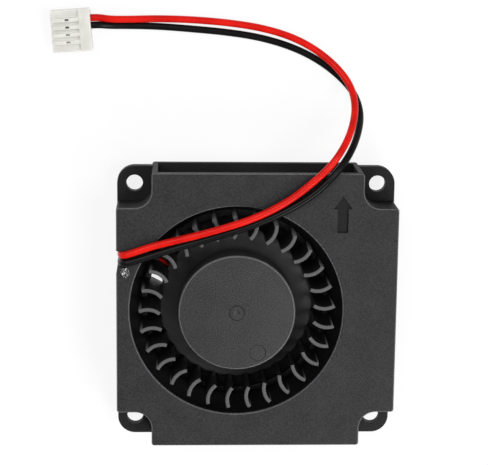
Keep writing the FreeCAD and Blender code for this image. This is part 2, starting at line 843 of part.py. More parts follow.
def make_solder_joints():
    # a flat cone of solder round each pin and each lead end
    low, high = size(board_top), size(board_top + " + solder_height")
    wide, narrow = size("solder_radius"), size("pin_radius")
    axis = Vector(size("rotor_x"), size("rotor_y"), 0)
    cone = Part.makeCone(wide, narrow + 0.05, high - low, Vector(0, 0, low))
    solids = []
    for turn in pin_turns:
        spot = Vector(size("pin_circle"), 0, 0)
        spot = Rotation(Vector(0, 0, 1), turn).multVec(spot) + axis
        bored = cone.cut(Part.makeCylinder(narrow, size("case_height")))
        bored.translate(spot)
        solids.append(bored)
    for x, y in lead_pads.values():
        joint = cone.copy()
        joint.translate(Vector(x, y, 0) + axis)
        solids.append(joint)
    group = doc.addObject("Part::Feature", "solder_joints")
    group.Label = "solder_joints"
    group.Shape = Part.Compound(solids)
    pieces.append(group)


def make_chip():
    body = new_body("driver_chip", at_rotor=True, turn="45")
    case = new_sketch(body, board_top)
    near = "(%s - shoe_root)" % core_radius
    far = "(%s + chip_width)" % near
    draw_box(case, near, "-chip_length / 2", far, "chip_length / 2")
    pad(body, case, "chip_height")
    legs = new_sketch(body, board_top)
    for side in (-1, 1):
        low = "%d * chip_length / 4 - leg_width / 2" % side
        high = "%d * chip_length / 4 + leg_width / 2" % side
        draw_box(legs, near + " - leg_length", low, near + " + leg_length", high)
    pad(body, legs, "leg_thickness")


def make_small_part(name, turn):
    body = new_body(name, at_rotor=True, turn=turn)
    case = new_sketch(body, board_top)
    middle = "((boss_radius + board_radius) / 2)"
    draw_box(case, middle + " - small_width / 2", "-small_length / 2",
             middle + " + small_width / 2", "small_length / 2")
    pad(body, case, "small_height")
    round_edges(body, "small_width / 8", is_upright)


# Leads: each is a round tube along straight runs joined by tangent arcs. The points of the
# free stretch are read off the object as it lies.

red_route = [
    (-19.35, 8.2, 8.3), (-19.35, 8.2, 10.75), (-17.25, 8.85, 10.62), (-14.9, 9.65, 10.6),
    (-12.1, 10.4, 10.75), (-8.75, 11.27, 11.0), (-5.25, 12.25, 11.05), (-1.62, 13.39, 11.05),
    (1.87, 14.91, 11.0), (4.81, 16.63, 10.8), (7.59, 18.85, 10.7), (10.07, 21.15, 10.7),
    (12.15, 24.05, 9.8), (13.45, 26.75, 7.4), (13.92, 29.25, 4.85), (13.35, 31.7, 2.9),
    (11.4, 34.2, 1.9), (8.4, 36.58, 1.15), (4.87, 38.36, 0.65), (0.55, 39.56, 0.48),
    (-4.19, 40.23, 0.48), (-9.19, 40.62, 0.48), (-14.18, 40.75, 0.48), (-18.2, 40.64, 0.6),
    (-21.1, 40.66, 1.2)]
black_route = [
    (-19.35, 7.05, 8.3), (-19.35, 7.05, 10.75), (-17.25, 7.55, 10.6), (-14.9, 8.3, 10.48),
    (-12.11, 9.18, 10.4), (-8.74, 10.17, 10.38), (-5.23, 11.18, 10.36), (-1.58, 12.32, 10.38),
    (1.92, 13.75, 10.5), (5.13, 15.4, 10.56), (7.91, 17.22, 10.62), (10.55, 19.85, 10.72),
    (12.75, 22.5, 9.5), (14.31, 25.2, 6.3), (14.92, 27.75, 3.2), (14.1, 30.4, 1.1),
    (11.76, 32.9, 0.52), (8.53, 35.22, 0.48), (4.75, 36.96, 0.48), (0.28, 38.21, 0.48),
    (-4.46, 38.89, 0.48), (-9.18, 39.26, 0.48), (-14.18, 39.5, 0.48), (-18.2, 39.56, 0.6),
    (-21.1, 39.62, 1.2)]


def plug_point(along, across, height):
    turn = math.radians(size("plug_angle"))
    x = size("plug_x") - along * math.cos(turn) - across * math.sin(turn)
    y = size("plug_y") - along * math.sin(turn) + across * math.cos(turn)
    return Vector(x, y, height)


def way_offset(way):
    return size("plug_pitch") * ((size("plug_ways") - 1) / 2 - way)


def make_tube(name, route, radius):
    points = [Vector(*point) for point in route]
    runs = [points[n + 1] - points[n] for n in range(len(points) - 1)]
    edges = []
    start = points[0]
    smallest = None
    for number in range(1, len(points) - 1):
        before, after = runs[number - 1], runs[number]
        turn = before.getAngle(after)
        shorter = min(before.Length, after.Length)
        bend = 0.45 * shorter / math.tan(turn / 2)
        smallest = bend if smallest is None else min(smallest, bend)
        into = Vector(before).normalize()
        away = Vector(after).normalize()
        first = points[number] - into * (0.45 * shorter)
        last = points[number] + away * (0.45 * shorter)
        to_centre = (away - into).normalize()
        centre = points[number] + to_centre * (bend / math.cos(turn / 2))
        middle = centre - to_centre * bend
        edges.append(Part.LineSegment(start, first).toShape())
        edges.append(Part.Arc(first, middle, last).toShape())
        print("%s bend %d: radius %.1f" % (name, number, bend))
        start = last
    edges.append(Part.LineSegment(start, points[-1]).toShape())
    path = Part.Wire(edges)
    section = Part.Wire(Part.makeCircle(radius, points[0], runs[0]))
    solid = path.makePipeShell([section], True, True)
    expected = math.pi * radius ** 2 * path.Length
    print("%s length %.1f, volume %.2f of %.2f" % (name, path.Length, solid.Volume, expected))
    if abs(solid.Volume / expected - 1) > 0.01:
        raise ValueError("the tube of %s isn't whole" % name)
    lead = doc.addObject("Part::Feature", name)
    lead.Label = name
    lead.Shape = solid
    pieces.append(lead)
    return path.Length


def make_leads():
    radius = size("lead_diameter / 2")
    axis = Vector(size("rotor_x"), size("rotor_y"), 0)
    lane = size("base_thickness / 2")
    middle = size("plug_height / 2")
    for way, (colour, route) in enumerate((("red", red_route), ("black", black_route))):
        last = [plug_point(-1.1, way_offset(way), middle), plug_point(0, way_offset(way), middle)]
        make_tube("lead_" + colour, route + [tuple(point) for point in last], radius)
        # from the solder joint along the channel to the left wall, then up to the free lead
        top = Vector(*route[0])
        foot = Vector(top.x, top.y, lane)
        pad_x, pad_y = lead_pads[colour]
        start = Vector(pad_x, pad_y, lane) + axis
        inward = (start - foot).normalize()
        sideways = Vector(-inward.y, inward.x, 0) * size("lead_slack")
        bend = foot + inward * size("foot_run") + sideways
        make_tube("inner_lead_" + colour, [tuple(point) for point in (start, bend, foot, top)], radius)


# Plug: a four-way housing with ribs over its cavities, and two crimped terminals

def plug_body(name):
    body = doc.addObject("PartDesign::Body", name)
    body.Label = name
    bind(body, "Placement.Base.x", "plug_x")
    bind(body, "Placement.Base.y", "plug_y")
    body.Placement.Rotation = Rotation(Vector(0, 0, 1), 1)
    bind(body, "Placement.Rotation.Angle", "plug_angle")
    pieces.append(body)
    return body


def way_place(way):
    return "(plug_pitch * ((plug_ways - 1) / 2 - %d))" % way


def make_plug():
    body = plug_body("connector_housing")
    base = new_sketch(body)
    draw_box(base, "-plug_length", "-plug_width / 2", "0", "plug_width / 2")
    pad(body, base, "plug_height - plug_step")
    raised = new_sketch(body, "plug_height - plug_step")
    draw_box(raised, "-plug_rear", "-plug_width / 2", "0", "plug_width / 2")
    pad(body, raised, "plug_step")
    ribs = new_sketch(body, "plug_height - plug_step")
    for way in range(int(size("plug_ways"))):
        low = "%s - rib_width / 2" % way_place(way)
        high = "%s + rib_width / 2" % way_place(way)
        draw_box(ribs, "-plug_length + 0.2", low, "-plug_rear", high)
    pad(body, ribs, "plug_step")
    round_edges(body, "plug_round", is_upright)
    cavities = new_sketch(body, "0.5", "YZ_Plane")
    for way in range(int(size("plug_ways"))):
        draw_box(cavities, way_place(way) + " - cavity_width / 2", "(plug_height - cavity_height) / 2",
                 way_place(way) + " + cavity_width / 2", "(plug_height + cavity_height) / 2")
    cut_away(body, cavities, "plug_length + 1")
    windows = new_sketch(body, "plug_height + 0.5")
    for way in range(int(size("plug_ways"))):
        draw_box(windows, "-window_place - window_length", way_place(way) + " - window_width / 2",
                 "-window_place", way_place(way) + " + window_width / 2")
    cut_away(body, windows, "plug_height / 2")


def make_terminal(colour, way):
    # crimp barrel behind a hollow contact box
    body = plug_body("terminal_" + colour)
    place = way_place(way)
    low = "(plug_height - terminal_height) / 2"
    high = "(plug_height + terminal_height) / 2"
    box = new_sketch(body, "-crimp_length", "YZ_Plane")
    draw_box(box, place + " - terminal_width / 2", low, place + " + terminal_width / 2", high)
    pad(body, box, "terminal_length - crimp_length", reverse=True)
    barrel = new_sketch(body, plane="YZ_Plane")
    draw_circle(barrel, place, "plug_height / 2", "terminal_width / 2")
    pad(body, barrel, "crimp_length", reverse=True)
    mouth = new_sketch(body, "-terminal_length", "YZ_Plane")
    draw_box(mouth, place + " - terminal_width / 2 + terminal_wall", low + " + terminal_wall",
             place + " + terminal_width / 2 - terminal_wall", high + " - terminal_wall")
    cut_away(body, mouth, "(terminal_length - crimp_length) * 0.8", upward=True)


# Drop of clear glue that holds the leads where they come over the edge

def make_glue():
    drop = doc.addObject("Part::Ellipsoid", "glue_bead")
    bind(drop, "Radius1", "glue_height")
    bind(drop, "Radius2", "glue_length")
    bind(drop, "Radius3", "glue_width")
    bind(drop, "Placement.Base.x", "glue_x")
    bind(drop, "Placement.Base.y", "glue_y")
    bind(drop, "Placement.Base.z", "case_height")
    drop.Angle1 = 0
    drop.Label = "glue_drop"
    pieces.append(drop)


def check_pieces():
    for thing in doc.Objects:
        if "Invalid" in thing.State or "Error" in thing.State:
            raise ValueError("%s failed" % thing.Label)
    for piece in pieces:
        if piece.Shape.isNull() or not piece.Shape.isValid() or not piece.Shape.Solids:
            raise ValueError("%s has no valid solid" % piece.Label)


def write_pieces():
    os.makedirs("parts", exist_ok=True)
    for piece in pieces:
        piece.Shape.exportStep(os.path.join("parts", piece.Label + ".step"))
        print("%s: %d solids, %.2f mm3" % (piece.Label, len(piece.Shape.Solids), piece.Shape.Volume))


make_housing()
make_back_cover()
make_bearing()
make_shaft()
make_impeller()
make_rotor_magnet()
make_stator()
for coil_number in range(sizes["pole_count"]):
    make_coil(coil_number)
make_board()
make_solder_joints()
make_chip()
make_small_part("capacitor", "135")
make_small_part("diode", "315")
make_leads()
make_plug()
make_terminal("red", 0)
make_terminal("black", 1)
make_glue()
doc.recompute()
check_pieces()
write_pieces()
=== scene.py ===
import json
import math

import bmesh
import bpy
from mathutils import Euler, Matrix, Vector, noise


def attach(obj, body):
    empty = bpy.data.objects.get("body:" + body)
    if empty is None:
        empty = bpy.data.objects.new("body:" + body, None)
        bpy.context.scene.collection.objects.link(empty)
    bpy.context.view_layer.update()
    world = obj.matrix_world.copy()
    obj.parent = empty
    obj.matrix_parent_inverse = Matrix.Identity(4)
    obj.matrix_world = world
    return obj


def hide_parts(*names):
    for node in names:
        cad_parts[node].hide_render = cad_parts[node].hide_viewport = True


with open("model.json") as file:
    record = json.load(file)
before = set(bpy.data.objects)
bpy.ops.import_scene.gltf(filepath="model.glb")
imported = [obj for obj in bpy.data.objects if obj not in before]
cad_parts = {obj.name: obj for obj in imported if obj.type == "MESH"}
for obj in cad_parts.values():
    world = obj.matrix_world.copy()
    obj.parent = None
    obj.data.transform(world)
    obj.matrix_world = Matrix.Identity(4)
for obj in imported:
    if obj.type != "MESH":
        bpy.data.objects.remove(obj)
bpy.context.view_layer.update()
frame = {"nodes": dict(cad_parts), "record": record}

nodes = frame["nodes"]
mm = 0.001
rotorAxis = (-2.8 * mm, -0.5 * mm)  # where the rotor's axis stands, in X and Y
noiseSpan = (0.3, 0.7)  # nearly all values of a noise texture lie between these
mergeWithin = 0.0001 * mm  # corners closer than this become one
bevelSamples = 6  # rays of the Bevel node, which rounds edges in the shading
print("frame loaded:", len(nodes), "nodes")


# Node trees. A Link wraps one socket, so that arithmetic on it adds Math nodes.

class Link:
    def __init__(self, graph, socket):
        self.graph = graph
        self.socket = socket

    def combine(self, operation, *terms):
        return self.graph.add("ShaderNodeMath", {"operation": operation}, dict(enumerate(terms)))

    def __add__(self, other):
        return self.combine("ADD", self, other)

    __radd__ = __add__

    def __sub__(self, other):
        return self.combine("SUBTRACT", self, other)

    def __rsub__(self, other):
        return self.combine("SUBTRACT", other, self)

    def __mul__(self, other):
        return self.combine("MULTIPLY", self, other)

    __rmul__ = __mul__

    def __truediv__(self, other):
        return self.combine("DIVIDE", self, other)

    def __pow__(self, other):
        return self.combine("POWER", self, other)

    def __gt__(self, other):
        return self.combine("GREATER_THAN", self, other)

    def __abs__(self):
        return self.combine("ABSOLUTE", self)


class Graph:
    def __init__(self, tree):
        self.tree = tree

    def node(self, kind, settings=None, inputs=None):
        # an input is a value, a link, or a list of links for a socket that takes several
        node = self.tree.nodes.new(kind)
        for name, value in (settings or {}).items():
            setattr(node, name, value)
        for name, given in (inputs or {}).items():
            for value in given if isinstance(given, list) else [given]:
                if isinstance(value, Link):
                    self.tree.links.new(value.socket, node.inputs[name])
                else:
                    node.inputs[name].default_value = value
        return node

    def add(self, kind, settings=None, inputs=None, output=0):
        return Link(self, self.node(kind, settings, inputs).outputs[output])

    def outputs(self, kind):
        return {socket.name: Link(self, socket) for socket in self.node(kind).outputs if socket.name}

    def place(self):
        return self.add("ShaderNodeTexCoord", None, None, "Object")

    def split(self, vector):
        node = self.node("ShaderNodeSeparateXYZ", None, {0: vector})
        return [Link(self, socket) for socket in node.outputs]

    def noise(self, spot, grain, detail=2.0, roughness=0.5):
        # grain is the size of one speck in metres
        return self.add("ShaderNodeTexNoise", None, {
            "Vector": spot, "Scale": 1 / grain, "Detail": detail, "Roughness": roughness})

    def spread(self, value, low, high, newLow=0.0, newHigh=1.0):
        return self.add("ShaderNodeMapRange", {"clamp": True}, {
            "Value": value, "From Min": low, "From Max": high, "To Min": newLow, "To Max": newHigh})

    def vary(self, value, ends):
        # a noise value becomes one between the two ends
        return self.spread(value, *noiseSpan, *ends)

    def shade(self, mask, dark, light):
        return self.add("ShaderNodeMix", {"data_type": "RGBA"}, {0: mask, 6: dark, 7: light}, 2)


def grey(level, blue=1.0):
    return (level, level, level * blue, 1.0)


def newMaterial(name):
    material = bpy.data.materials.new(name)
    material.use_nodes = True
    material.node_tree.nodes.clear()
    return material, Graph(material.node_tree)


def closeMaterial(graph, inputs, relief, depth, edge=0.0):
    # a relief of 1 stands depth metres high, and edge is the radius that sharp edges get
    bump = {"Height": relief, "Distance": depth, "Strength": 1.0}
    if edge:
        bump["Normal"] = graph.add("ShaderNodeBevel", {"samples": bevelSamples}, {"Radius": edge})
    inputs["Normal"] = graph.add("ShaderNodeBump", None, bump)
    shader = graph.add("ShaderNodeBsdfPrincipled", None, inputs)
    graph.node("ShaderNodeOutputMaterial", None, {"Surface": shader})


def mottle(graph, spot, finish):
    # fine specks over wide, faint clouds, as a mould leaves them in black plastic
    speck = graph.noise(spot, finish["grain"], detail=3.0, roughness=finish["crisp"])
    cloud = graph.noise(spot, finish["cloudGrain"])
    share = finish["cloudShare"]
    return speck, graph.spread(speck * (1 - share) + cloud * share, *finish["contrast"])


# Black plastic of the case: spark-eroded grey face, darker sides below it as painted shade, and painted
# highlights along the face's edges

# the darker side tone is painted shade on the case below its face, and the lighter tone for the face's
# edges is a painted highlight
caseFinish = {"dark": 0.009, "light": 0.032, "side": 0.007, "paintedHighlight": 0.13, "recess": 0.003, "blue": 1.06,
              "grain": 0.16 * mm, "crisp": 0.6, "cloudGrain": 3.52 * mm, "cloudShare": 0.15,
              "contrast": (0.38, 0.62),  # noise from and to, over which dark turns light
              "highlightNoise": (0.3, 0.6, 0.3, 1.0),  # noise from and to, and how strong the painted highlight on the edges is there
              "skinGrain": 0.128 * mm, "specks": 0.8, "depth": 0.03 * mm, "roughness": (0.5, 0.66),
              "shine": 0.22, "edge": 0.12 * mm}
caseMarks = {"face": 9.97 * mm, "edgeLow": 9.74 * mm,  # heights over the back
             "arrowLeft": 10.4 * mm, "arrowLow": 11.0 * mm, "arrowFloor": 9.85 * mm}


def makeCasePlastic(name, finish, marks):
    material, graph = newMaterial(name)
    spot = graph.place()
    across, along, height = graph.split(spot)
    speck, tone = mottle(graph, spot, finish)
    skin = graph.noise(spot, finish["skinGrain"], roughness=finish["crisp"])
    inArrow = (across > marks["arrowLeft"]) * (along > marks["arrowLow"])
    inArrow = inArrow * (1 - (height > marks["arrowFloor"]))
    onFace = height > marks["face"]
    onEdge = (height > marks["edgeLow"]) * (1 - onFace) * (1 - inArrow)
    blue = finish["blue"]
    eroded = graph.shade(tone, grey(finish["dark"], blue), grey(finish["light"], blue))
    # below the face the case takes the darker side tone: painted shade
    plain = graph.shade(onFace, grey(finish["side"], blue), eroded)
    # a patchy painted highlight along the face's rounded edges
    paintedHighlight = onEdge * graph.spread(speck, *finish["highlightNoise"])
    highlighted = graph.shade(paintedHighlight, plain, grey(finish["paintedHighlight"], blue))
    closeMaterial(graph, {
        "Base Color": graph.shade(inArrow, highlighted, grey(finish["recess"], blue)),
        "Roughness": graph.vary(speck, finish["roughness"]),
        "Specular IOR Level": finish["shine"],
    }, skin + speck * finish["specks"], finish["depth"], finish["edge"])
    return material


# Plastic of the rotor: smoother, with painted highlights on the hub's rim and the blades' tops and outer
# ends, painted shade on the blades and ring, painted light on the skirt, and the mould's marks on the hub

# The lightest grey here is a painted highlight on the hub's rim and the blades' tops and outer ends; the
# skirt's grey is painted light on the skirt; the deep grey is painted shade on the blades and the ring
rotorFinish = {"dark": 0.012, "light": 0.038, "highlighted": 0.17, "skirt": 0.038, "deep": 0.009, "blue": 1.04,
               "grain": 0.2 * mm, "crisp": 0.55, "cloudGrain": 3.0 * mm, "cloudShare": 0.15,
               "contrast": (0.38, 0.62), "highlightNoise": (0.3, 0.6, 0.3, 0.7), "bladeHighlight": 0.45,
               "depth": 0.014 * mm, "roughness": (0.4, 0.54), "shine": 0.3, "edge": 0.06 * mm}
# radii from the rotor's axis, heights over the back, and how deep each mark is pressed
hubMarks = {"top": 8.7 * mm, "topFade": 0.05 * mm, "depth": 0.2 * mm, "ringRadius": 1.07 * mm,
            "ringWidth": 0.09 * mm, "ringPressed": 0.5, "gateFrom": 0.2 * mm, "gateTo": 0.45 * mm,
            "gatePressed": 0.4, "pinPlace": (0.25 * mm, -6.4 * mm), "pinRadius": 1.2 * mm,
            "pinPressed": 0.7, "rimInner": 8.18 * mm, "rimOuter": 9.99 * mm, "rimLow": 8.5 * mm,
            "bladeTop": 9.2 * mm, "tipRadius": 13.7 * mm, "tipLow": 3.0 * mm,
            "skirtRadius": 11.1 * mm, "skirtTop": 4.4 * mm, "hubRadius": 8.5 * mm}


def distanceFrom(across, along, centre):
    across = across - centre[0]
    along = along - centre[1]
    return (across * across + along * along) ** 0.5


def pressedMarks(graph, fromAxis, fromPin, marks):
    # a ring round the gate, the gate's own mark and the round mark of an ejector pin
    width = marks["ringWidth"]
    ring = graph.spread(abs(fromAxis - marks["ringRadius"]), 0.0, width, 1.0, 0.0)
    pin = graph.spread(fromPin, marks["pinRadius"] - width, marks["pinRadius"], 1.0, 0.0)
    gate = graph.spread(fromAxis, marks["gateFrom"], marks["gateTo"], 1.0, 0.0)
    return ring * marks["ringPressed"] + pin * marks["pinPressed"] + gate * marks["gatePressed"]


def makeRotorPlastic(name, finish, marks):
    material, graph = newMaterial(name)
    spot = graph.place()
    across, along, height = graph.split(spot)
    speck, tone = mottle(graph, spot, finish)
    fromAxis = distanceFrom(across, along, rotorAxis)
    fromPin = distanceFrom(across, along, marks["pinPlace"])
    onTop = graph.spread(height, marks["top"] - marks["topFade"], marks["top"])
    pressed = pressedMarks(graph, fromAxis, fromPin, marks) * onTop
    relief = speck * (finish["depth"] / marks["depth"]) - pressed
    # where painted highlights go: patchily on the hub's rim, faintly on the blades' tops, and on the
    # blades' outer ends, stronger towards their tops
    onBlade = height > marks["bladeTop"]
    onRim = (fromAxis > marks["rimInner"]) * (height > marks["rimLow"]) * (1 - onBlade)
    onRim = onRim * (1 - (fromAxis > marks["rimOuter"]))
    onTip = (fromAxis > marks["tipRadius"]) * (1 - onBlade)
    onTip = onTip * graph.spread(height, marks["tipLow"], marks["bladeTop"])
    paintedHighlight = onRim * graph.spread(speck, *finish["highlightNoise"]) + onBlade * finish["bladeHighlight"] + onTip
    onHub = 1 - (fromAxis > marks["hubRadius"])
    onSkirt = (1 - (height > marks["skirtTop"])) * (1 - (fromAxis > marks["skirtRadius"]))
    blue = finish["blue"]
    hubTone = graph.shade(tone, grey(finish["dark"], blue), grey(finish["light"], blue))
    # away from the hub the blades and the ring take the deep grey: painted shade
    plain = graph.shade(onHub, grey(finish["deep"], blue), hubTone)
    # the skirt takes a lighter grey: painted light
    plain = graph.shade(onSkirt, plain, grey(finish["skirt"], blue))
    closeMaterial(graph, {
        "Base Color": graph.shade(paintedHighlight, plain, grey(finish["highlighted"], blue)),
        "Roughness": graph.vary(speck, finish["roughness"]),
        "Specular IOR Level": finish["shine"],
    }, relief, marks["depth"], finish["edge"])
    return material


# Soft glossy insulation of the leads, each colour from deep to light

insulationFinish = {"red": ((0.54, 0.005, 0.003, 1.0), (0.7, 0.01, 0.005, 1.0)),
                    "black": ((0.003, 0.003, 0.0035, 1.0), (0.005, 0.0045, 0.005, 1.0)),
                    "waveGrain": 3.0 * mm, "contrast": (0.35, 0.65), "grain": 0.5 * mm,
                    "depth": 0.003 * mm, "roughness": (0.26, 0.34), "shine": 0.08,
                    "coat": 0.07, "coatRoughness": 0.12}


def makeInsulation(color, finish):
    material, graph = newMaterial(color + "Insulation")
    spot = graph.place()
    wave = graph.noise(spot, finish["waveGrain"])
    skin = graph.noise(spot, finish["grain"], detail=3.0)
    closeMaterial(graph, {
        "Base Color": graph.shade(graph.spread(wave, *finish["contrast"]), *finish[color]),
        "Roughness": graph.vary(skin, finish["roughness"]), "Specular IOR Level": finish["shine"],
        "Coat Weight": finish["coat"], "Coat Roughness": finish["coatRoughness"],
    }, skin, finish["depth"])
    return material


# Natural nylon of the plug, slightly translucent; its glow stands for light carried inside

nylonFinish = {"thick": (0.5, 0.495, 0.465, 1.0), "thin": (0.57, 0.565, 0.53, 1.0),
               "cloudGrain": 1.75 * mm, "grain": 0.35 * mm, "depth": 0.01 * mm,
               "roughness": (0.3, 0.48), "ior": 1.53, "scatter": 0.6, "scatterDepth": 1.2 * mm,
               "scatterColor": (1.0, 0.97, 0.9), "glow": 0.24, "edge": 0.08 * mm}


def makeNylon(name, finish):
    material, graph = newMaterial(name)
    spot = graph.place()
    cloud = graph.noise(spot, finish["cloudGrain"])
    skin = graph.noise(spot, finish["grain"], detail=3.0)
    closeMaterial(graph, {
        "Base Color": graph.shade(graph.spread(cloud, *noiseSpan), finish["thick"], finish["thin"]),
        "Roughness": graph.vary(skin, finish["roughness"]), "IOR": finish["ior"],
        "Subsurface Weight": finish["scatter"], "Subsurface Scale": finish["scatterDepth"],
        "Subsurface Radius": finish["scatterColor"],
        "Emission Color": finish["thin"], "Emission Strength": finish["glow"],
    }, skin, finish["depth"], finish["edge"])
    return material


# Hot-melt glue, coloured dark as the black case shows through it, with light streaks that are painted
# highlights

glueFinish = {"color": (0.6, 0.6, 0.6, 1.0), "deep": (0.03, 0.03, 0.032, 1.0), "grain": 0.24 * mm,
              "contrast": (0.48, 0.62), "depth": 0.02 * mm, "roughness": (0.1, 0.2),
              "scatter": 0.15, "scatterDepth": 0.3 * mm}


def makeGlue(name, finish):
    material, graph = newMaterial(name)
    cloud = graph.noise(graph.place(), finish["grain"])
    # light streaks of painted highlight over the glue's dark colour
    mask = graph.spread(cloud, *finish["contrast"])
    closeMaterial(graph, {
        "Base Color": graph.shade(mask, finish["deep"], finish["color"]),
        "Roughness": graph.vary(cloud, finish["roughness"]),
        "Subsurface Weight": finish["scatter"], "Subsurface Scale": finish["scatterDepth"],
    }, cloud, finish["depth"])
    return material


# Metals and the small parts inside the motor: one recipe, with each finish's own
# dark and light colour, metallic share, roughness from and to, and grain

innerFinishes = {
    "steel": ((0.45, 0.45, 0.46), (0.68, 0.68, 0.7), 1.0, (0.2, 0.35), 0.2 * mm),
    "core_steel": ((0.3, 0.3, 0.32), (0.5, 0.5, 0.53), 1.0, (0.35, 0.5), 0.12 * mm),
    "yoke_steel": ((0.4, 0.39, 0.36), (0.6, 0.59, 0.55), 1.0, (0.25, 0.4), 0.4 * mm),
    "magnet": ((0.05, 0.048, 0.05), (0.11, 0.1, 0.1), 0.0, (0.5, 0.7), 0.2 * mm),
    "bronze": ((0.4, 0.25, 0.12), (0.66, 0.46, 0.26), 1.0, (0.35, 0.55), 0.1 * mm),
    "copper": ((0.5, 0.17, 0.07), (0.8, 0.38, 0.18), 1.0, (0.2, 0.35), 0.15 * mm),
    "pad_plastic": ((0.7, 0.68, 0.6), (0.85, 0.83, 0.77), 0.0, (0.35, 0.5), 0.3 * mm),
    "insulator": ((0.68, 0.66, 0.6), (0.82, 0.81, 0.76), 0.0, (0.35, 0.5), 0.3 * mm),
    "board": ((0.01, 0.1, 0.035), (0.02, 0.17, 0.06), 0.0, (0.25, 0.4), 0.6 * mm),
    "chip": ((0.012, 0.012, 0.012), (0.03, 0.03, 0.03), 0.0, (0.5, 0.65), 0.1 * mm),
    "ceramic": ((0.35, 0.25, 0.15), (0.5, 0.38, 0.25), 0.0, (0.3, 0.45), 0.1 * mm),
    "solder": ((0.5, 0.5, 0.52), (0.75, 0.75, 0.77), 1.0, (0.18, 0.3), 0.25 * mm),
    # the terminals' metal is coloured dark: painted shade for the hollows of the plug where they sit
    "terminal": ((0.1, 0.095, 0.085), (0.22, 0.21, 0.19), 1.0, (0.25, 0.4), 0.25 * mm),
}
innerRelief = {"contrast": (0.35, 0.65), "crisp": 0.6, "depthToGrain": 0.03, "edge": 0.04 * mm}


def makeInner(name, dark, light, metal, roughness, grain):
    material, graph = newMaterial(name)
    speck = graph.noise(graph.place(), grain, detail=3.0, roughness=innerRelief["crisp"])
    mask = graph.spread(speck, *innerRelief["contrast"])
    closeMaterial(graph, {
        "Base Color": graph.shade(mask, (*dark, 1.0), (*light, 1.0)),
        "Roughness": graph.vary(speck, roughness), "Metallic": metal,
    }, speck, grain * innerRelief["depthToGrain"], innerRelief["edge"])
    return material


finishes = {"case_plastic": makeCasePlastic("casePlastic", caseFinish, caseMarks),
            "rotor_plastic": makeRotorPlastic("rotorPlastic", rotorFinish, hubMarks),
            "red_insulation": makeInsulation("red", insulationFinish),
            "black_insulation": makeInsulation("black", insulationFinish),
            "nylon": makeNylon("naturalNylon", nylonFinish),
            "glue": makeGlue("hotMeltGlue", glueFinish)}
for slot, values in innerFinishes.items():
    finishes[slot] = makeInner(slot + "Finish", *values)
for part in frame["record"]["subparts"]:
    for slot in nodes[part["node"]].material_slots:
        slot.material = finishes[part["material_slot"]]
print("materials made:", len(finishes))


def addObject(name, data):
    made = bpy.data.objects.new(name, data)
    bpy.context.scene.collection.objects.link(made)
    return made


def addPiece(name, mesh, slot, body, replaced):
    piece = addObject(name, mesh)
    mesh.materials.clear()
    mesh.materials.append(finishes[slot])
    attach(piece, body)
    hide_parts(*replaced)
    return piece


def smoothBy(mesh, degrees):
    for face in mesh.polygons:
        face.use_smooth = True
    mesh.set_sharp_from_angle(angle=math.radians(degrees))


def closeMesh(name, shape, degrees):
    mesh = bpy.data.meshes.new(name)
    shape.to_mesh(mesh)
    shape.free()
    smoothBy(mesh, degrees)
    return mesh


# Impeller's blades and tip ring: one Geometry Nodes tree, with these values as its inputs.
# Each blade is an arc from root to tip radius, whose middle bends aside by bow.

bladeRing = {"axis": (*rotorAxis, 0.0), "blades": 29, "turn": math.radians(4.87),
             "tip": 14.0 * mm, "root": 11.05 * mm, "rootLean": 0.27 * mm, "bow": 0.44 * mm,
             "thickness": 0.55 * mm, "bottom": 1.6 * mm, "top": 9.3 * mm, "edge": 0.12 * mm,
             "ringRadius": 13.4 * mm, "ringWidth": 0.9 * mm, "ringHeight": 0.8 * mm,
             "bladeSteps": 14, "ringSteps": 174, "edgeSteps": 3}


